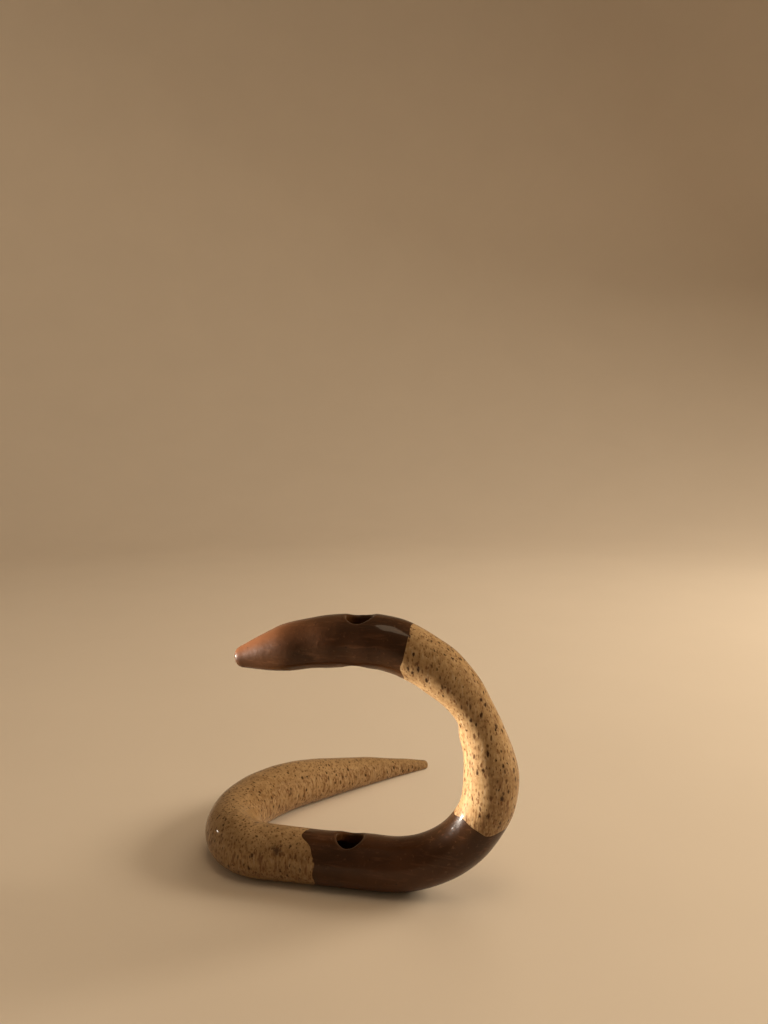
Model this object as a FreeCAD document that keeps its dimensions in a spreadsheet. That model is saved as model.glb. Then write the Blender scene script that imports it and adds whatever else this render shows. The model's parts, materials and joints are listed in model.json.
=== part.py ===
import FreeCAD, Part

# Bud vase: one hollow coil of stoneware, hand built from four lengths of two clays that are
# luted end to end with slip.  The coil lies in two planes.  Its base, arch and head make an open
# C in the upright XZ plane, and its tail turns behind the base (+Y) on the table and tapers to a
# tip.  The origin is on the table under the stem well, +Z is up, and the head hangs over the well.

import math
import os

import Sketcher

# Sizes in millimetres and degrees, each one cell of the spreadsheet.
SIZES = {
    # The coil's middle line on each side of the well, its diameter at the well, and its wall.
    "upright_length": 228,
    "table_length": 209,
    "coil_dia": 23.2,
    "wall": 4.3,
    # How much of the coil's round is lost to the flat foot.
    "foot_trim": 0.8,
    # The layer of slip in each joint.
    "slip": 0.8,
    # The stem's holes share one leaning axis, through the head and into the base.
    "stem_hole": 11.8,
    "stem_lean": 2.8,
    "rim_round": 1.2,
    # Each stretch is an arc of the middle line: its share of that side's length, the angle that it
    # bends through, and the coil's diameter at its far end as a share of the diameter at the well.
    # The upright C, from the well to the head.
    "heel_share": 0.070, "heel_bend": 0, "heel_girth": 0.991,
    "toe_share": 0.118, "toe_bend": 31.5, "toe_girth": 0.948,
    "rise_share": 0.101, "rise_bend": 29.5, "rise_girth": 0.957,
    "side_share": 0.097, "side_bend": 33.5, "side_girth": 1.009,
    "waist_share": 0.105, "waist_bend": 19, "waist_girth": 0.759,
    "shoulder_share": 0.097, "shoulder_bend": 27, "shoulder_girth": 0.922,
    "crown_share": 0.088, "crown_bend": 15, "crown_girth": 0.987,
    "brow_share": 0.066, "brow_bend": 23, "brow_girth": 1.009,
    "arm_share": 0.175, "arm_bend": 17, "arm_girth": 0.879,
    "nose_share": 0.083, "nose_bend": -2, "nose_girth": 0.453,
    # The loop on the table, from the well to the tip of the tail.
    "run_share": 0.074, "run_bend": 0, "run_girth": 0.991,
    "entry_share": 0.117, "entry_bend": 0, "entry_girth": 1.017,
    "turn_share": 0.096, "turn_bend": 54, "turn_girth": 1.078,
    "exit_share": 0.115, "exit_bend": 46, "exit_girth": 1.103,
    "back_share": 0.201, "back_bend": 33, "back_girth": 1.026,
    "tail_share": 0.215, "tail_bend": 4, "tail_girth": 0.655,
    "whip_share": 0.182, "whip_bend": 6, "whip_girth": 0.241,
}

UPRIGHT = ["heel", "toe", "rise", "side", "waist", "shoulder", "crown", "brow", "arm", "nose"]
TABLE = ["run", "entry", "turn", "exit", "back", "tail", "whip"]

# Rings are no further apart than this share of the coil's diameter, and turn no more than this many
# degrees from one to the next.
RING_STEP = 0.4
RING_TURN = 12.0

# A section's lofts run on past its joint by this many rings, so that the sections meet smoothly.
RUN_ON_COUNT = 2

# The solids that trim a section's ends are this many coil radii wide and long.
TRIM_GIRTH = 3

# A rounded end is half an ellipse: its rings stand at these shares of the coil's last radius.
DOME_STEPS = [0.5, 0.8, 0.95]

# Middles of circles and the sketch's own origin, as Sketcher numbers them.
CENTRE_POINT = 3
ORIGIN_GEOMETRY = -1

# How finely an edge is looked at to tell whether it lies on the stem hole's wall, in millimetres, and
# how near the outermost edge's height the rest of a rim lies, as a share of the hole's radius.
RIM_SAMPLES = 9
RIM_TOLERANCE = 0.001
RIM_REACH = 0.25


def size(alias):
    return f"Sizes.{alias}"


# The height of the coil's middle line at the well.
WELL_HEIGHT = f"({size('coil_dia')} / 2 - {size('foot_trim')})"


def stretch_length(stretch, side):
    return f"({size(side)} * {size(stretch)}_share)"


def end_diameter(stretch):
    return f"({size('coil_dia')} * {size(stretch)}_girth)"


def make_sheet(doc):
    """One row per size: its name in column A and its plain value, with the alias, in column B."""
    sheet = doc.addObject("Spreadsheet::Sheet", "Sizes")
    for row, (alias, value) in enumerate(SIZES.items(), start=1):
        sheet.set(f"A{row}", alias)
        sheet.set(f"B{row}", str(value))
        sheet.setAlias(f"B{row}", alias)
    doc.recompute()
    return sheet


def add_ring(doc, name, radius, placement):
    """A circle across the coil, whose own +Z looks along the path towards the head."""
    ring = doc.addObject("Part::Circle", name)
    ring.setExpression("Radius", radius)
    ring.setExpression("Placement", placement)
    return ring


def blended_diameter(before, start, end, after, share):
    """The diameter part of the way along a stretch, on a smooth cubic through its neighbours."""
    weights = (
        (-share + 2 * share**2 - share**3) / 2,
        (2 - 5 * share**2 + 3 * share**3) / 2,
        (share + 4 * share**2 - 3 * share**3) / 2,
        (share**3 - share**2) / 2,
    )
    terms = zip(weights, (before, start, end, after))
    return " + ".join(f"({weight:.6f}) * ({diameter})" for weight, diameter in terms)


def ring_count(sheet, stretch, side):
    length = getattr(sheet, side) * getattr(sheet, f"{stretch}_share")
    bend = abs(getattr(sheet, f"{stretch}_bend"))
    diameter = sheet.coil_dia * getattr(sheet, f"{stretch}_girth")
    return max(2, math.ceil(length / (RING_STEP * diameter)), math.ceil(bend / RING_TURN))


def upright_step(stretch, count, last, radius):
    """From one ring to the next towards the head: forward, and bending up about the ring's X."""
    step = f"{stretch_length(stretch, 'upright_length')} / {count}"
    angle = f"{size(stretch)}_bend / {count}"
    forward = f"vector(0; {step} * sin({angle} * 1deg / 2); {step} * cos({angle} * 1deg / 2))"
    return f"{last.Name}.Placement * placement({forward}; rotation(vector(1; 0; 0); -{angle}))"


def table_step(stretch, count, last, radius):
    """From one ring to the next towards the tip: backward, and bending about the upright ring's Y.

    The ring's middle also rises or drops with its radius, so that the coil lies on the table."""
    step = f"{stretch_length(stretch, 'table_length')} / {count}"
    angle = f"{size(stretch)}_bend / {count}"
    lift = f"({radius} - {last.Name}.Radius / 1mm)"
    back = f"vector({step} * sin({angle} * 1deg / 2); {lift}; -{step} * cos({angle} * 1deg / 2))"
    return f"{last.Name}.Placement * placement({back}; rotation(vector(0; 1; 0); -{angle}))"


def add_chain(doc, sheet, well_ring, side, stretches, other_stretch, make_step):
    """The rings of one chain, and the last ring of each of its stretches."""
    diameters = [end_diameter(other_stretch), size("coil_dia")]
    diameters += [end_diameter(stretch) for stretch in stretches]
    diameters.append(f"2 * {diameters[-1]} - {diameters[-2]}")
    rings = []
    ends = {}
    last = well_ring
    for index, stretch in enumerate(stretches):
        count = ring_count(sheet, stretch, side)
        for step in range(1, count + 1):
            diameter = blended_diameter(*diameters[index:index + 4], step / count)
            radius = f"({diameter}) / 2"
            last = add_ring(doc, f"{stretch}_ring_{step}", radius, make_step(stretch, count, last, radius))
            rings.append(last)
        ends[stretch] = last
    return rings, ends


def add_dome(doc, name, last, sign):
    """Rings that close the coil past its last ring, as half an ellipse."""
    rings = []
    for number, share in enumerate(DOME_STEPS, start=1):
        radius = f"{last.Name}.Radius * {math.sqrt(1 - share**2):.6f}"
        shift = f"vector(0; 0; {sign} * {share} * {last.Name}.Radius / 1mm)"
        place = f"{last.Name}.Placement * placement({shift}; rotation(vector(0; 0; 1); 0))"
        rings.append(add_ring(doc, f"{name}_dome_{number}", radius, place))
    return rings


def add_loft(doc, name, rings):
    loft = doc.addObject("Part::Loft", name)
    loft.Sections = rings
    loft.Solid = True
    return loft


def offset_ring(doc, name, ring, growth, shift):
    """A copy of a ring whose radius is larger by growth, moved along the path by shift."""
    place = f"{ring.Name}.Placement * placement(vector(0; 0; {shift}); rotation(vector(0; 0; 1); 0))"
    return add_ring(doc, name, f"{ring.Name}.Radius + ({growth}) * 1mm", place)


def add_cut(doc, name, base, tool):
    cut = doc.addObject("Part::Cut", name)
    cut.Base = base
    cut.Tool = tool
    return cut


def add_end_trim(doc, name, ring, sign, setback):
    """A fat cylinder that cuts a section's lofts off at a ring, or short of it by the setback."""
    trim = doc.addObject("Part::Cylinder", name)
    trim.setExpression("Radius", f"{TRIM_GIRTH} * {ring.Name}.Radius")
    trim.setExpression("Height", f"{TRIM_GIRTH} * {ring.Name}.Radius")
    turn = 0 if sign > 0 else 180
    trim.setExpression("Placement", f"{ring.Name}.Placement * placement(vector(0; 0; -{sign} * {setback}); "
                       f"rotation(vector(1; 0; 0); {turn}))")
    return trim


def add_below_table(doc):
    """Everything under the table plane, for cutting the foot flat."""
    reach = f"{size('upright_length')} + {size('table_length')}"
    below = doc.addObject("Part::Box", "below_table")
    for side in ("Length", "Width", "Height"):
        below.setExpression(side, f"2 * ({reach})")
    below.setExpression("Placement", f"placement(vector(-({reach}); -({reach}); -2 * ({reach})); "
                        "rotation(vector(0; 0; 1); 0))")
    return below


def make_section(doc, name, path, ends, setbacks, cavity_ends, below):
    """The hollow coil between two rings, its foot cut flat where it has one.

    An end at a joint is set back, and one at the end of the path is left as it is.  The cavity's
    loft runs one ring further than the outside's, and stops at the cavity's own ends."""
    first, last = ends
    start = max(0, path.index(first) - RUN_ON_COUNT)
    stop = path.index(last) + RUN_ON_COUNT + 1
    cavity_start = max(start - 1, path.index(cavity_ends[0]))
    cavity_stop = min(stop + 1, path.index(cavity_ends[1]) + 1)
    inner = []
    for ring in path[cavity_start:cavity_stop]:
        inner.append(offset_ring(doc, f"{name}_{ring.Name}_inner", ring, f"-{size('wall')}", "0"))
    outside = add_loft(doc, f"{name}_outside", path[start:stop])
    section = add_cut(doc, f"{name}_hollow", outside, add_loft(doc, f"{name}_cavity", inner))
    if first is not path[0]:
        trim = add_end_trim(doc, f"{name}_low_trim", first, -1, setbacks[0])
        section = add_cut(doc, f"{name}_low_end", section, trim)
    if last is not path[-1]:
        trim = add_end_trim(doc, f"{name}_high_trim", last, 1, setbacks[1])
        section = add_cut(doc, f"{name}_high_end", section, trim)
    if below is not None:
        section = add_cut(doc, f"{name}_footed", section, below)
    return section


def add_disc(doc, name, ring, radius):
    """A disc as thick as the slip, centred on a ring."""
    disc = doc.addObject("Part::Cylinder", name)
    disc.setExpression("Radius", radius)
    disc.setExpression("Height", size("slip"))
    disc.setExpression("Placement", f"{ring.Name}.Placement * placement(vector(0; 0; -{size('slip')} / 2); "
                       "rotation(vector(0; 0; 1); 0))")
    return disc


def make_slip(doc, name, ring, below):
    """The thin layer of slip that fills the joint at a ring."""
    disc = add_disc(doc, f"{name}_disc", ring, f"{ring.Name}.Radius")
    bore = add_disc(doc, f"{name}_bore", ring, f"{ring.Name}.Radius - {size('wall')} * 1mm")
    slip = add_cut(doc, f"{name}_ring", disc, bore)
    if below is not None:
        slip = add_cut(doc, f"{name}_footed", slip, below)
    return slip


def origin_plane(body, role):
    return next(feature for feature in body.Origin.OriginFeatures if feature.Role == role)


def rim_edges(shape, middle, axis, hole_radius, both_ends):
    """The edges where the stem's hole comes out through the outside of the coil.

    They lie on the hole's wall, highest along its axis, and lowest too where it passes right through."""
    heights = {}
    for number, edge in enumerate(shape.Edges, start=1):
        points = edge.discretize(RIM_SAMPLES)
        spans = [(point - middle).cross(axis).Length for point in points]
        on_wall = all(abs(span - hole_radius) < RIM_TOLERANCE for span in spans)
        if on_wall and not isinstance(edge.Curve, Part.Line):
            heights[f"Edge{number}"] = sum((point - middle).dot(axis) for point in points) / len(points)
    level = RIM_REACH * hole_radius
    chosen = [name for name, height in heights.items() if height > max(heights.values()) - level]
    if both_ends:
        chosen += [name for name, height in heights.items() if height < min(heights.values()) + level]
    return chosen


def make_bored(doc, sheet, name, section, both_ends):
    """A section with the stem's hole pocketed upward from the height of the well, and its rims rounded."""
    body = doc.addObject("PartDesign::Body", name)
    body.BaseFeature = section
    outline = body.newObject("Sketcher::SketchObject", f"{name}_hole_outline")
    outline.AttachmentSupport = (origin_plane(body, "XY_Plane"), [""])
    outline.MapMode = "FlatFace"
    outline.setExpression("AttachmentOffset", f"placement(vector(0; 0; {WELL_HEIGHT}); "
                          f"rotation(vector(0; 1; 0); {size('stem_lean')}))")
    outline.addGeometry(Part.Circle(FreeCAD.Vector(0, 0, 0), FreeCAD.Vector(0, 0, 1), sheet.stem_hole / 2))
    outline.addConstraint(Sketcher.Constraint("Coincident", 0, CENTRE_POINT, ORIGIN_GEOMETRY, 1))
    outline.addConstraint(Sketcher.Constraint("Diameter", 0, sheet.stem_hole))
    outline.renameConstraint(1, "hole")
    outline.setExpression("Constraints.hole", size("stem_hole"))
    hole = body.newObject("PartDesign::Pocket", f"{name}_hole")
    hole.Profile = outline
    hole.Type = "ThroughAll"
    hole.Reversed = True
    doc.recompute()
    lean = math.radians(sheet.stem_lean)
    axis = FreeCAD.Vector(math.sin(lean), 0, math.cos(lean))
    middle = FreeCAD.Vector(0, 0, sheet.coil_dia / 2 - sheet.foot_trim)
    rims = body.newObject("PartDesign::Fillet", f"{name}_rims")
    rims.Base = (hole, rim_edges(hole.Shape, middle, axis, sheet.stem_hole / 2, both_ends))
    rims.setExpression("Radius", size("rim_round"))
    return body


def check(doc, nodes):
    """Stops before anything is written if an object failed or a piece isn't one sound solid."""
    for item in doc.Objects:
        if "Invalid" in item.State or "Error" in item.State:
            raise RuntimeError(f"{item.Name} failed: {item.State}")
    for node in nodes:
        if node.Shape.isNull() or not node.Shape.isValid() or len(node.Shape.Solids) != 1:
            raise RuntimeError(f"{node.Label} is not one sound solid")


def main():
    doc = FreeCAD.newDocument("BudVase")
    sheet = make_sheet(doc)

    # The well's ring looks along +X, with its own X along +Y and its own Y up.
    well = add_ring(doc, "well_ring", f"{size('coil_dia')} / 2",
                    f"placement(vector(0; 0; {WELL_HEIGHT}); rotation(vector(1; 1; 1); 120))")
    upright, upright_ends = add_chain(doc, sheet, well, "upright_length", UPRIGHT, TABLE[0], upright_step)
    table, table_ends = add_chain(doc, sheet, well, "table_length", TABLE, UPRIGHT[0], table_step)
    nose = add_dome(doc, "nose", upright[-1], 1)
    tip = add_dome(doc, "tip", table[-1], -1)
    path = list(reversed(table + tip)) + [well] + upright + nose
    doc.recompute()

    # The joints between the two clays, from the tail to the head.
    tail_joint = table_ends["run"]
    base_joint = upright_ends["rise"]
    head_joint = upright_ends["crown"]
    cavity_ends = (table_ends["tail"], upright_ends["arm"])
    below = add_below_table(doc)

    # The tail's clay is one piece, modelled as two lengths that meet where it comes out of its bend.
    half_slip = f"{size('slip')} / 2"
    halfway = table_ends["back"]
    tip_ends = (path[0], halfway)
    tip_half = make_section(doc, "tip_half", path, tip_ends, (0, 0), cavity_ends, below)
    bend_ends = (halfway, tail_joint)
    bend_half = make_section(doc, "bend_half", path, bend_ends, (0, half_slip), cavity_ends, below)
    tail = doc.addObject("Part::Fuse", "tail_clay")
    tail.Base = tip_half
    tail.Tool = bend_half
    both = (half_slip, half_slip)
    base = make_section(doc, "base_clay", path, (tail_joint, base_joint), both, cavity_ends, below)
    arch = make_section(doc, "arch_clay", path, (base_joint, head_joint), both, cavity_ends, None)
    head = make_section(doc, "head_clay", path, (head_joint, path[-1]), both, cavity_ends, None)
    tail_slip = make_slip(doc, "tail_slip", tail_joint, below)
    base_slip = make_slip(doc, "base_slip", base_joint, None)
    head_slip = make_slip(doc, "head_slip", head_joint, None)
    doc.recompute()
    bored_base = make_bored(doc, sheet, "base_bored", base, False)
    bored_head = make_bored(doc, sheet, "head_bored", head, True)
    doc.recompute()

    nodes = {
        "tail_section": tail,
        "base_section": bored_base,
        "arch_section": arch,
        "head_section": bored_head,
        "tail_joint_slip": tail_slip,
        "base_joint_slip": base_slip,
        "head_joint_slip": head_slip,
    }
    for label, node in nodes.items():
        node.Label = label
    doc.recompute()
    check(doc, nodes.values())
    os.makedirs("parts", exist_ok=True)
    for label, node in nodes.items():
        node.Shape.exportStep(f"parts/{label}.step")
        print(f"{label}: {node.Shape.Volume / 1000:.2f} cm3")


main()
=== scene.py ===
"""Looks of the coiled bud vase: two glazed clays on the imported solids."""
import json
import math

import bmesh
import bpy
import numpy as np
from mathutils import Matrix, Vector

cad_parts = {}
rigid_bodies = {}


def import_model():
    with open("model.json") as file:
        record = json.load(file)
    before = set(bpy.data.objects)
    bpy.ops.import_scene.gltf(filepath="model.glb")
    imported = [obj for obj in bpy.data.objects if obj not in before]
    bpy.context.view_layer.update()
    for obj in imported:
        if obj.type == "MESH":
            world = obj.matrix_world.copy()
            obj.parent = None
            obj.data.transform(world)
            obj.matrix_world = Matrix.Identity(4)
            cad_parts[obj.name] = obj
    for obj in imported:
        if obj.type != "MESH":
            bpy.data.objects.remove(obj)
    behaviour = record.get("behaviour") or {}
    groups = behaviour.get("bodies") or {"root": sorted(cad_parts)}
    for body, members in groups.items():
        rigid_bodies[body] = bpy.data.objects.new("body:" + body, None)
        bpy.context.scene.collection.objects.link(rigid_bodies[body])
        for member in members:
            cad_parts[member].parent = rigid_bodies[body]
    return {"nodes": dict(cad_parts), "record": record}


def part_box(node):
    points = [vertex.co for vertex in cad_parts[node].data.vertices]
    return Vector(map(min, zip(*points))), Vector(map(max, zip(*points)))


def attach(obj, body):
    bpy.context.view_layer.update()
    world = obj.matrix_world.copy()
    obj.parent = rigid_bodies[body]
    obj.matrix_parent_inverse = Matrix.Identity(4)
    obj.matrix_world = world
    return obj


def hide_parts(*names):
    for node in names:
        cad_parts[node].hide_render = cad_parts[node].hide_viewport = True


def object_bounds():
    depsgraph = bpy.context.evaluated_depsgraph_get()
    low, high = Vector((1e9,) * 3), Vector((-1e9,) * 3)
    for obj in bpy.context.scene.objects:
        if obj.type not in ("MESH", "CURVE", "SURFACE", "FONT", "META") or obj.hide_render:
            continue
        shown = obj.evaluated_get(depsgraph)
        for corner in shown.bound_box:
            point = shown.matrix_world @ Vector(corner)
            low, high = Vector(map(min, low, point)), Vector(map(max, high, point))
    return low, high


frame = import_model()
CAD_BOX = [list(corner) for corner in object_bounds()]

MM = 1000.0
VOXEL = 0.45            # mm, the size of a face of the dressed surface
SMOOTHING = 10          # rounds that take the voxels' steps away
LUMP_HEIGHT = 0.10      # mm, how far the hand-rolled lumps rise and sink
LUMP_WAVES = 36
SEED = 11
SLIP_HALF = 0.4         # mm, half of the layer of slip in each joint
WARP_FLAT, WARP_END = 7.0, 20.0     # mm from a joint, where its waviness holds and where it has gone
FOOT_FREE = (0.6, 6.0)  # mm above the table, where the lumps begin and where they are full
STEM_FREE = (6.6, 12.0)             # mm from the stem's axis, likewise
BOX_INSET = 0.01        # mm that the skin keeps inside the solids' box
FOOT_FLAT = 0.12        # mm, the skin under this height is laid flat
LONGEST_SLIP = 0.04     # m, a loose piece smaller than this is a layer of slip

# The wandering of each joint's line round the coil, every 15 degrees from +Y through the ring's own
# third axis, in mm along the coil from the slip's middle towards the head. The half that faces the
# camera was measured on the photo with a scratch script. The half behind is a guess.
JOINT_LINES = {
    "tail_joint_slip": (-1.0, -0.4, -0.8, -1.8, -2.4, -3.0, -4.0, -4.9, -2.6, 0.4, 1.5, 3.0,
                        2.7, 2.2, 2.7, 2.4, 1.2, 0.4, 0.6, 1.4, 1.0, -0.2, -1.2, -1.5),
    "base_joint_slip": (-1.5, -1.8, -1.2, -1.0, -1.6, -2.4, -2.8, -2.7, -1.4, 0.0, 0.2, 0.1,
                        0.2, -0.1, 0.7, 2.8, 4.4, 4.8, 4.0, 2.6, 1.6, 1.0, 0.2, -0.8),
    "head_joint_slip": (-0.6, -0.9, -1.4, -1.6, -2.0, -2.7, -3.2, -3.5, -3.4, -2.9, -0.7, 0.0,
                        0.3, 1.0, 1.7, 2.3, 2.9, 3.4, 3.3, 2.7, 2.0, 1.4, 0.8, 0.0),
}

# A rough direction along the coil towards the head, at each joint.
TOWARDS_HEAD = {"tail_joint_slip": (1, 0, 0), "base_joint_slip": (0, 0, 1), "head_joint_slip": (-1, 0, 0)}

# Hand marks: a place on the skin, the push there and how far it reaches, all in mm.
HAND_MARKS = [
    ((-75.0, 24.0, 12.0), (1.0, 0.0, 0.0), 14.0),       # the left of the loop is a little flat
    ((48.0, -2.0, 70.5), (-1.1, 0.0, 0.0), 5.0),        # a swelling inside the waist
    ((46.5, -2.0, 77.5), (0.7, 0.0, -0.2), 3.6),        # and the nick above it
    ((5.4, 7.0, 119.5), (0.0, -0.3, 0.8), 3.8),         # the back of the stem's upper hole stands a little
    ((4.4, -7.0, 98.5), (0.0, 0.0, -0.9), 3.8),         # and so does the front of the hole under it
]
SECTIONS = {
    "tail_section": "speckled_clay",
    "base_section": "brown_clay",
    "arch_section": "speckled_clay",
    "head_section": "brown_clay",
    "tail_joint_slip": "joint_slip",
    "base_joint_slip": "joint_slip",
    "head_joint_slip": "joint_slip",
}


def smoothstep(values, low, high):
    share = np.clip((values - low) / (high - low), 0.0, 1.0)
    return share * share * (3.0 - 2.0 * share)


def co_array(vertices, name="co"):
    flat = np.empty(len(vertices) * 3)
    vertices.foreach_get(name, flat)
    return flat.reshape(-1, 3)


# ---------------------------------------------------------------- shape

def whole_surface():
    """All the sections and the slip joined as one skin of even faces, in millimetres."""
    bm = bmesh.new()
    for name in SECTIONS:
        bm.from_mesh(frame["nodes"][name].data)
    bmesh.ops.scale(bm, vec=(MM, MM, MM), verts=bm.verts)
    mesh = bpy.data.meshes.new("whole")
    bm.to_mesh(mesh)
    bm.free()
    whole = bpy.data.objects.new("whole", mesh)
    bpy.context.collection.objects.link(whole)
    remesh = whole.modifiers.new("even", "REMESH")
    remesh.mode = "VOXEL"
    remesh.voxel_size = VOXEL
    relax = whole.modifiers.new("relax", "SMOOTH")
    relax.factor = 0.5
    relax.iterations = SMOOTHING
    evaluated = whole.evaluated_get(bpy.context.evaluated_depsgraph_get())
    skin = bpy.data.meshes.new_from_object(evaluated)
    bpy.data.objects.remove(whole)
    return skin


def lumps(points):
    """A smooth, seeded unevenness, from -1 to 1 at most places."""
    rng = np.random.default_rng(SEED)
    total = np.zeros(len(points))
    for _ in range(LUMP_WAVES):
        heading = rng.normal(size=3)
        heading /= np.linalg.norm(heading)
        wave = rng.uniform(11.0, 42.0)
        total += np.sin(points @ heading * (2.0 * math.pi / wave) + rng.uniform(0, 2.0 * math.pi))
    return total / math.sqrt(LUMP_WAVES / 2.0)


def stem_axis():
    mount = next(m for m in frame["record"]["mounts"] if m["name"] == "stem_mouth")
    return np.array(mount["pos_m"]) * MM, np.array(mount["axis"])


def give_lumps(skin):
    points = co_array(skin.vertices)
    normals = co_array(skin.vertices, "normal")
    low, high = (np.array(corner) * MM for corner in CAD_BOX)
    mouth, axis = stem_axis()
    from_axis = np.linalg.norm(np.cross(points - mouth, axis), axis=1)
    free = smoothstep(points[:, 2], *FOOT_FREE) * smoothstep(from_axis, *STEM_FREE)
    bumps = (LUMP_HEIGHT * lumps(points) * free)[:, None]
    for place, push, reach in HAND_MARKS:
        near = np.exp(-np.sum((points - place)**2, axis=1) / reach**2)
        points = points + near[:, None] * np.array(push)
    points = points + normals * bumps
    points = np.clip(points, low + BOX_INSET, high - BOX_INSET)
    points[points[:, 2] < FOOT_FLAT, 2] = BOX_INSET
    skin.vertices.foreach_set("co", points.ravel())
    skin.update()


def joint_frame(name):
    """Middle of a joint, the direction along the coil towards the head, and two directions across it."""
    points = co_array(frame["nodes"][name].data.vertices) * MM
    _, ways = np.linalg.eigh(np.cov((points - points.mean(0)).T))
    along = ways[:, 0]
    along = along * np.sign(along @ np.array(TOWARDS_HEAD[name]))
    side = np.array((0.0, 1.0, 0.0)) - along * along[1]
    side /= np.linalg.norm(side)
    return points.mean(0), along, side, np.cross(along, side)


def wander(angles, name):
    """The joint line's distance along the coil at each angle round it, a smooth closed curve."""
    values = np.array(JOINT_LINES[name])
    terms = np.fft.rfft(values) / len(values)
    total = np.full(len(angles), terms[0].real)
    for k in range(1, len(terms)):
        share = 1.0 if 2 * k == len(values) else 2.0
        total += share * (terms[k].real * np.cos(k * angles) - terms[k].imag * np.sin(k * angles))
    return total


def cut_joint(bm, name):
    """Parts the skin on both sides of a joint's slip, along its wandering line, and closes each cut."""
    middle, along, side, third = joint_frame(name)
    near = [v for v in bm.verts if (v.co - Vector(middle)).length < WARP_END]
    points = np.array([v.co[:] for v in near])
    home = bm.verts.layers.float_vector["home"]
    for v in near:
        v[home] = v.co
    off = points - middle
    distance = off @ along
    angles = np.arctan2(off @ third, off @ side)
    hold = 1.0 - smoothstep(np.abs(distance), WARP_FLAT, WARP_END)
    points -= along * (wander(angles, name) * hold)[:, None]
    for v, point in zip(near, points):
        v.co = point
    inside = set(near)
    axis = Vector(along)
    for level in (-SLIP_HALF, SLIP_HALF):
        faces = {f for v in inside if v.is_valid for f in v.link_faces}
        edges = {e for f in faces for e in f.edges}
        verts = {v for f in faces for v in f.verts}
        cut = bmesh.ops.bisect_plane(
            bm, geom=list(verts) + list(edges) + list(faces), dist=1e-4,
            plane_co=Vector(middle + along * level), plane_no=axis)
        cut_edges = [g for g in cut["geom_cut"] if isinstance(g, bmesh.types.BMEdge)]
        inside |= {g for g in cut["geom_cut"] if isinstance(g, bmesh.types.BMVert)}
        split = bmesh.ops.split_edges(bm, edges=cut_edges)
        rims = [e for e in split["edges"] if e.is_boundary]
        inside |= {v for e in rims for v in e.verts}
        plane = Vector(middle) + axis * level
        banks = ([], [])
        for e in rims:
            e.smooth = False
            banks[(e.link_faces[0].calc_center_median() - plane).dot(axis) > 0].append(e)
        for bank in banks:
            bmesh.ops.bridge_loops(bm, edges=bank)
    for v in inside:
        if v.is_valid:
            v.co = v[home]


def part_pieces(skin):
    """The skin parted at its three joints, one mesh for each section and each layer of slip."""
    bm = bmesh.new()
    bm.from_mesh(skin)
    bm.verts.layers.float_vector.new("home")
    for name in JOINT_LINES:
        cut_joint(bm, name)
    for f in bm.faces:
        f.smooth = True
    parted = bpy.data.meshes.new("parted")
    bm.to_mesh(parted)
    bm.free()
    whole = bpy.data.objects.new("parted", parted)
    bpy.context.collection.objects.link(whole)
    for other in bpy.context.view_layer.objects:
        other.select_set(other is whole)
    bpy.context.view_layer.objects.active = whole
    before = set(bpy.data.objects)
    bpy.ops.mesh.separate(type="LOOSE")
    return [whole] + [o for o in bpy.data.objects if o not in before]


def name_pieces(pieces):
    """The loose pieces by the node whose middle is nearest their own."""
    middles = {}
    for name in SECTIONS:
        low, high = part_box(name)
        middles[name] = (low + high) / 2
    found = {}
    for piece in pieces:
        piece.data.transform(Matrix.Scale(1.0 / MM, 4))
        points = co_array(piece.data.vertices)
        middle = Vector((points.min(0) + points.max(0)) / 2)
        size = float(np.linalg.norm(points.max(0) - points.min(0)))
        names = [n for n in middles if n.endswith("_slip") == (size < LONGEST_SLIP)]
        name = min(names, key=lambda n: (middles[n] - middle).length)
        found[name] = piece
    return found


# ---------------------------------------------------------------- materials

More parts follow.
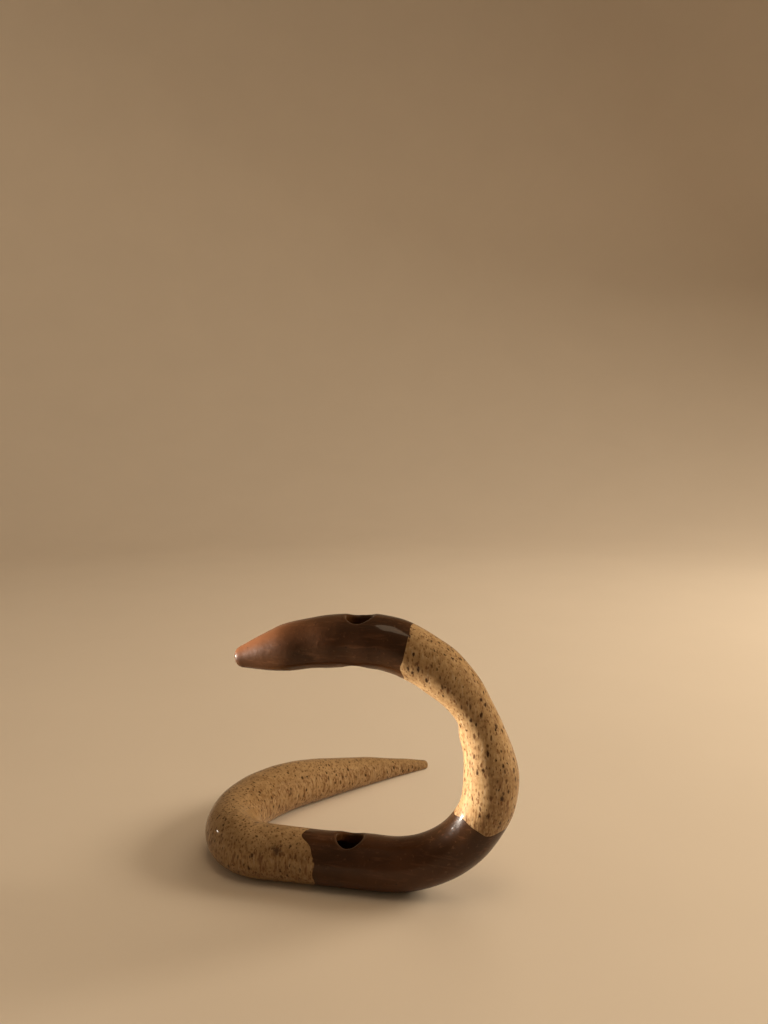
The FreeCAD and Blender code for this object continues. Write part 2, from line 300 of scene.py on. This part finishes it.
class Nodes:
    """Short hands for a material's nodes."""

    def __init__(self, name):
        self.material = bpy.data.materials.new(name)
        self.material.use_nodes = True
        self.tree = self.material.node_tree
        self.tree.nodes.clear()
        self.shader = self.tree.nodes.new("ShaderNodeBsdfPrincipled")
        output = self.tree.nodes.new("ShaderNodeOutputMaterial")
        self.link(self.shader.outputs["BSDF"], output.inputs["Surface"])
        self.place = self.tree.nodes.new("ShaderNodeTexCoord").outputs["Object"]

    def link(self, source, target):
        self.tree.links.new(source, target)

    def put(self, target, value):
        if isinstance(value, bpy.types.NodeSocket):
            self.link(value, target)
        else:
            target.default_value = value

    def math(self, operation, *values):
        node = self.tree.nodes.new("ShaderNodeMath")
        node.operation = operation
        for target, value in zip(node.inputs, values):
            self.put(target, value)
        return node.outputs[0]

    def vector(self, operation, *values):
        node = self.tree.nodes.new("ShaderNodeVectorMath")
        node.operation = operation
        for target, value in zip(node.inputs, values):
            self.put(target, value)
        return node.outputs["Value" if operation == "DISTANCE" else "Vector"]

    def scaled(self, stretch, source=None):
        return self.vector("MULTIPLY", source or self.place, stretch)

    def noise(self, source, scale, detail, roughness, colour=False):
        node = self.tree.nodes.new("ShaderNodeTexNoise")
        self.link(source, node.inputs["Vector"])
        node.inputs["Scale"].default_value = scale
        node.inputs["Detail"].default_value = detail
        node.inputs["Roughness"].default_value = roughness
        return node.outputs["Color" if colour else "Fac"]

    def cells(self, source, scale):
        node = self.tree.nodes.new("ShaderNodeTexVoronoi")
        self.link(source, node.inputs["Vector"])
        node.inputs["Scale"].default_value = scale
        return node.outputs["Distance"], node.outputs["Color"]

    def ramp(self, value, low, high, start=0.0, end=1.0, smooth=True):
        node = self.tree.nodes.new("ShaderNodeMapRange")
        node.interpolation_type = "SMOOTHSTEP" if smooth else "LINEAR"
        for target, number in zip(node.inputs, (value, low, high, start, end)):
            self.put(target, number)
        return node.outputs[0]

    def mix(self, share, first, second):
        node = self.tree.nodes.new("ShaderNodeMix")
        node.data_type = "RGBA"
        self.put(node.inputs[0], share)
        for target, value in zip((node.inputs[6], node.inputs[7]), (first, second)):
            self.put(target, (*value, 1.0) if isinstance(value, tuple) else value)
        return node.outputs[2]

    def part(self, source, axis):
        node = self.tree.nodes.new("ShaderNodeSeparateXYZ")
        self.link(source, node.inputs[0])
        return node.outputs[axis]

    def bump(self, height, distance):
        node = self.tree.nodes.new("ShaderNodeBump")
        node.inputs["Strength"].default_value = 1.0
        node.inputs["Distance"].default_value = distance
        self.link(height, node.inputs["Height"])
        return node.outputs["Normal"]

    def upward(self):
        """How far a face looks up, from -1 underneath to 1 on top."""
        geometry = self.tree.nodes.new("ShaderNodeNewGeometry")
        return self.part(geometry.outputs["Normal"], "Z")

    def jitter(self, drift, reach):
        """A coloured noise as an offset, up to half the reach each way."""
        centred = self.vector("SUBTRACT", drift, (0.5, 0.5, 0.5))
        return self.vector("MULTIPLY", centred, (reach, reach, reach))


def steepness(n):
    """1 on steep faces, where a glaze would run down, and 0 on top and underneath."""
    return n.ramp(n.math("ABSOLUTE", n.upward()), 0.85, 0.35)


def specks(n, cell, stretch, share, low, high, wobble, seed):
    """Grains in a share of the cells, drawn out downward: 1 in a grain's middle, and its tone."""
    shifted = n.vector("ADD", n.place, (seed, seed * 1.7, seed * 0.6))
    drift = n.noise(n.scaled((1.0, 1.0, 0.6), shifted), 900.0, 2.0, 0.6, colour=True)
    bent = n.vector("ADD", n.scaled((1.0, 1.0, stretch), shifted), n.jitter(drift, wobble))
    distance, colour = n.cells(bent, 1.0 / cell)
    lot = n.part(colour, "X")
    picked = n.math("GREATER_THAN", lot, 1.0 - share)
    size = n.ramp(n.part(colour, "Y"), 0.0, 1.0, low, high, smooth=False)
    edge = n.math("MULTIPLY", size, 0.45)
    grain = n.ramp(distance, size, edge)
    return n.math("MULTIPLY", grain, picked), n.part(colour, "Z")


def glaze(n, weight, roughness):
    n.shader.inputs["Coat Weight"].default_value = weight
    n.shader.inputs["Coat Roughness"].default_value = roughness
    n.shader.inputs["Coat IOR"].default_value = 1.42
    n.shader.inputs["IOR"].default_value = 1.45
    n.shader.inputs["Specular IOR Level"].default_value = 0.1


def speckled_clay():
    n = Nodes("speckled_clay")
    steep = steepness(n)
    cloud = n.noise(n.place, 38.0, 3.0, 0.55)
    fine = n.noise(n.place, 420.0, 4.0, 0.6)
    run = n.noise(n.scaled((1.0, 1.0, 0.13)), 900.0, 3.0, 0.6)
    body = n.mix(n.ramp(cloud, 0.35, 0.68), (0.325, 0.196, 0.086), (0.430, 0.270, 0.126))
    body = n.mix(n.math("MULTIPLY", n.ramp(fine, 0.42, 0.70), 0.45), body, (0.56, 0.37, 0.185))
    body = n.mix(n.math("MULTIPLY", n.ramp(fine, 0.50, 0.28), 0.55), body, (0.215, 0.112, 0.045))
    depth = n.ramp(n.part(n.place, "Z"), 0.060, 0.022, 0.30, 0.85)
    streak = n.math("MULTIPLY", n.ramp(run, 0.50, 0.66), n.math("MULTIPLY", steep, depth))
    body = n.mix(streak, body, (0.165, 0.066, 0.021))
    pale = n.math("MULTIPLY", n.ramp(run, 0.44, 0.30), n.math("MULTIPLY", steep, 0.35))
    body = n.mix(pale, body, (0.62, 0.48, 0.31))

    small, _ = specks(n, 0.0011, 0.50, 0.95, 0.22, 0.48, 0.0006, 0.31)
    middle, tone = specks(n, 0.0017, 0.40, 0.90, 0.20, 0.44, 0.0009, 0.77)
    large, _ = specks(n, 0.0026, 0.50, 0.80, 0.16, 0.34, 0.0013, 1.43)
    body = n.mix(n.math("MULTIPLY", small, 0.70), body, (0.140, 0.058, 0.019))
    middle_tone = n.mix(tone, (0.062, 0.024, 0.008), (0.160, 0.058, 0.016))
    body = n.mix(n.math("MULTIPLY", middle, 0.85), body, middle_tone)
    body = n.mix(large, body, (0.046, 0.018, 0.006))

    # A burnt smudge on the tail's front, beside the joint.
    drift = n.noise(n.place, 520.0, 3.0, 0.6, colour=True)
    near = n.vector("ADD", n.place, n.jitter(drift, 0.0050))
    spot = n.vector("DISTANCE", n.scaled((1.0, 1.0, 1.15), near), (-0.0300, -0.0096, 0.0200))
    smudge = n.math("MULTIPLY", n.ramp(spot, 0.0031, 0.0006), 0.9)
    body = n.mix(smudge, body, (0.050, 0.022, 0.010))

    # The low coil is painted darker: painted shade, where less light reaches the low coil.
    low = n.ramp(n.part(n.place, "Z"), 0.036, 0.020)
    body = n.mix(n.math("MULTIPLY", low, 0.26), body, (0.105, 0.055, 0.020))
    n.link(body, n.shader.inputs["Base Color"])

    marks = n.noise(n.place, 260.0, 4.0, 0.6)
    grain = n.math("ADD", n.math("MULTIPLY", fine, 0.4), marks)
    n.link(n.bump(grain, 0.00022), n.shader.inputs["Normal"])
    n.link(n.bump(n.noise(n.place, 120.0, 2.0, 0.5), 0.00004), n.shader.inputs["Coat Normal"])
    n.link(n.ramp(fine, 0.3, 0.7, 0.42, 0.60), n.shader.inputs["Roughness"])
    glaze(n, 0.55, 0.09)
    return n.material


def brown_clay(name="brown_clay"):
    n = Nodes(name)
    cloud = n.noise(n.place, 34.0, 3.0, 0.55)
    fine = n.noise(n.place, 520.0, 4.0, 0.6)
    brush = n.noise(n.scaled((0.16, 1.0, 1.0)), 620.0, 3.0, 0.55)
    body = n.mix(n.ramp(cloud, 0.34, 0.70), (0.038, 0.0140, 0.0034), (0.074, 0.027, 0.0082))
    body = n.mix(n.math("MULTIPLY", n.ramp(brush, 0.52, 0.74), 0.40), body, (0.150, 0.062, 0.026))
    body = n.mix(n.math("MULTIPLY", n.ramp(fine, 0.60, 0.74), 0.35), body, (0.200, 0.090, 0.040))

    # The upward faces of the nose are painted paler and redder: painted light, where the key light falls on
    # them.
    ridge = n.ramp(n.upward(), -0.10, 0.85)
    nose = n.ramp(n.part(n.place, "X"), -0.004, -0.050)
    raised = n.ramp(n.part(n.place, "Z"), 0.06, 0.08)
    painted_light_top = n.math("MULTIPLY", n.math("MULTIPLY", ridge, nose), raised)
    painted_light_patchy = n.math("MULTIPLY", painted_light_top, n.ramp(cloud, 0.2, 0.7, 0.55, 0.9))
    # painted light: the lit top of the nose, mixed in as a paler, redder tone
    body = n.mix(painted_light_patchy, body, (0.235, 0.088, 0.036))

    pits, _ = specks(n, 0.0024, 0.8, 0.22, 0.10, 0.20, 0.0008, 2.11)
    body = n.mix(n.math("MULTIPLY", pits, 0.6), body, (0.016, 0.007, 0.004))
    n.link(body, n.shader.inputs["Base Color"])
    n.link(n.bump(n.math("ADD", n.math("MULTIPLY", brush, 0.6), fine), 0.00012), n.shader.inputs["Normal"])
    n.link(n.bump(n.noise(n.place, 110.0, 2.0, 0.5), 0.00003), n.shader.inputs["Coat Normal"])
    n.link(n.ramp(cloud, 0.3, 0.7, 0.34, 0.50), n.shader.inputs["Roughness"])
    glaze(n, 0.58, 0.06)
    return n.material


# ---------------------------------------------------------------- studio

FLAT_RADIUS = 1.1       # m, the level part of the floor
WALL_ROUND = 0.9        # m, the radius of its rise
WALL_HEIGHTS = (1.5, 2.4)
ROUND_STEPS = 12
FLOOR_STEPS = 96
OPEN_SIDE = -0.4        # m along Y, the wall is left out beyond this on the photo camera's side


def sweep():
    """A pale floor that rises into a curved wall, except on the photo camera's side."""
    bm = bmesh.new()
    profile = [(0.5, 0.0), (FLAT_RADIUS, 0.0)]
    for k in range(1, ROUND_STEPS + 1):
        turn = math.radians(90.0 * k / ROUND_STEPS)
        profile.append((FLAT_RADIUS + WALL_ROUND * math.sin(turn), WALL_ROUND * (1.0 - math.cos(turn))))
    profile += [(FLAT_RADIUS + WALL_ROUND, height) for height in WALL_HEIGHTS]
    rings = [[bm.verts.new((0, 0, 0))]]
    headings = [2 * math.pi * i / FLOOR_STEPS for i in range(FLOOR_STEPS)]
    for radius, height in profile:
        rings.append([bm.verts.new((radius * math.cos(a), radius * math.sin(a), height)) for a in headings])
    for inner, outer in zip(rings, rings[1:]):
        for i in range(FLOOR_STEPS):
            j = (i + 1) % FLOOR_STEPS
            if inner[0].co.z > 0.0 and outer[i].co.y < OPEN_SIDE:
                continue
            if len(inner) == 1:
                bm.faces.new((inner[0], outer[i], outer[j]))
            else:
                bm.faces.new((inner[i], outer[i], outer[j], inner[j]))
    for f in bm.faces:
        f.smooth = True
    mesh = bpy.data.meshes.new("floor")
    bm.to_mesh(mesh)
    bm.free()
    floor = bpy.data.objects.new("floor", mesh)
    bpy.context.collection.objects.link(floor)
    n = Nodes("floor_paper")
    tone = n.noise(n.place, 9.0, 3.0, 0.5)
    n.link(n.mix(tone, (0.740, 0.645, 0.540), (0.780, 0.682, 0.572)), n.shader.inputs["Base Color"])
    n.shader.inputs["Roughness"].default_value = 0.85
    n.shader.inputs["Specular IOR Level"].default_value = 0.1
    mesh.materials.append(n.material)


def aim(light, place, target):
    light.location = place
    light.rotation_euler = (Vector(target) - Vector(place)).to_track_quat("-Z", "Y").to_euler()
    bpy.context.collection.objects.link(light)


def soft_light(name, place, target, size, power, colour, mirrored=True):
    """A soft panel; one that isn't mirrored gives no highlight of its own."""
    lamp = bpy.data.lights.new(name, "AREA")
    lamp.shape = "RECTANGLE"
    lamp.size, lamp.size_y = size
    lamp.energy = power
    lamp.color = colour
    light = bpy.data.objects.new(name, lamp)
    light.visible_glossy = mirrored
    aim(light, place, target)


def beam(name, place, target, radius, half_angle, power, colour):
    """A beam with a crisp edge."""
    lamp = bpy.data.lights.new(name, "SPOT")
    lamp.shadow_soft_size = radius
    lamp.spot_size = math.radians(2.0 * half_angle)
    lamp.spot_blend = 0.0
    lamp.energy = power
    lamp.color = colour
    aim(bpy.data.objects.new(name, lamp), place, target)


def studio():
    sweep()
    # The key's lower edge passes over the tail and still reaches the arch.
    beam("key", (-1.05, -0.02, 0.057), (0.0, 0.0, 0.412), 0.010, 20.0, 188.0, (1.0, 0.91, 0.79))
    soft_light("glint", (-1.05, 0.0, 0.30), (0.0, 0.0, 0.05), (0.04, 0.04), 0.30, (1.0, 0.92, 0.80))
    soft_light("window", (0.14, -0.22, 1.15), (0.02, 0.0, 0.11), (0.50, 0.46), 1.9, (1.0, 0.76, 0.50))
    soft_light("side", (1.15, 0.40, 0.60), (0.0, 0.02, 0.05), (0.50, 0.50), 12.5, (1.0, 0.86, 0.66),
               mirrored=False)
    soft_light("back", (0.55, 0.95, 1.25), (0.12, 0.10, 0.05), (1.40, 0.80), 4.9, (1.0, 0.83, 0.62),
               mirrored=False)
    world = bpy.data.worlds.new("studio")
    world.use_nodes = True
    background = world.node_tree.nodes["Background"]
    background.inputs["Color"].default_value = (1.0, 0.76, 0.50, 1.0)
    background.inputs["Strength"].default_value = 0.17
    bpy.context.scene.world = world


CAMERA_PLACE = (0.07419, -0.31680, 0.19702)
CAMERA_AZIMUTH, CAMERA_TILT = -10.43, 5.48      # degrees from +Y, and degrees down
SENSOR_HEIGHT = 36.0
LENS_LENGTH = 27.03515625                       # mm, assumed: a phone's wide lens


def camera():
    azimuth, tilt = math.radians(CAMERA_AZIMUTH), math.radians(CAMERA_TILT)
    lens = bpy.data.cameras.new("camera")
    lens.sensor_fit = "VERTICAL"
    lens.sensor_height = SENSOR_HEIGHT
    lens.lens = LENS_LENGTH
    lens.clip_start = 0.01
    view = bpy.data.objects.new("camera", lens)
    view.location = CAMERA_PLACE
    level = math.cos(tilt)
    look = Vector((math.sin(azimuth) * level, math.cos(azimuth) * level, -math.sin(tilt)))
    view.rotation_euler = look.to_track_quat("-Z", "Y").to_euler()
    bpy.context.collection.objects.link(view)
    bpy.context.scene.camera = view


skin = whole_surface()
give_lumps(skin)
materials = {
    "speckled_clay": speckled_clay(),
    "brown_clay": brown_clay(),
    "joint_slip": brown_clay("joint_slip"),
}
for name, piece in name_pieces(part_pieces(skin)).items():
    piece.name = piece.data.name = name.replace("_section", "_clay").replace("_slip", "_line")
    piece.data.materials.clear()
    piece.data.materials.append(materials[SECTIONS[name]])
    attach(piece, "root")
    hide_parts(name)

studio()
camera()
bpy.context.scene.view_settings.view_transform = "Standard"
